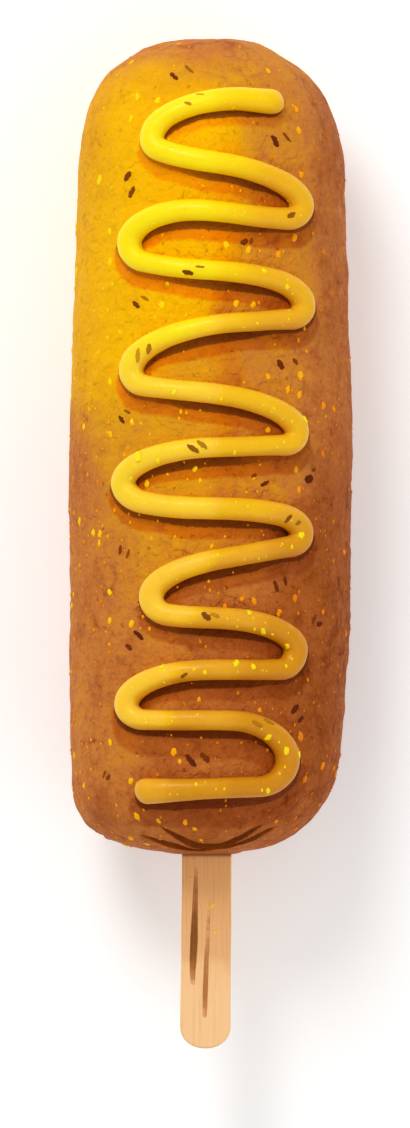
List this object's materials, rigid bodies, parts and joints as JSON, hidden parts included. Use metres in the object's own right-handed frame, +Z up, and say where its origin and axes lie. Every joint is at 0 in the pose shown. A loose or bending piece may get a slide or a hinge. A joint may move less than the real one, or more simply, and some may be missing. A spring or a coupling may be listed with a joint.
{
  "type": "corn dog",
  "caption": "Battered and fried sausage on a flat wooden stick, with a zigzag bead of mustard, lying on its back.",
  "frame": {"origin": "middle of the bottom of the whole, on the surface that it lies on", "axes": "+Y towards the round tip, the stick towards -Y, +Z up through the mustard, +X to the right as seen from above"},
  "size_m": [0.0528, 0.1886, 0.0541],
  "materials": {
    "batter": "fried cornmeal batter: fine blistered crust, golden to deep brown, thinly oiled",
    "mustard": "smooth glossy yellow mustard",
    "stick": "pale unvarnished birch, oiled darker where it leaves the crust"
  },
  "bodies": {
    "root": {"batter": "batter", "mustard": "mustard", "stick": "stick"}
  },
  "joints": []
}
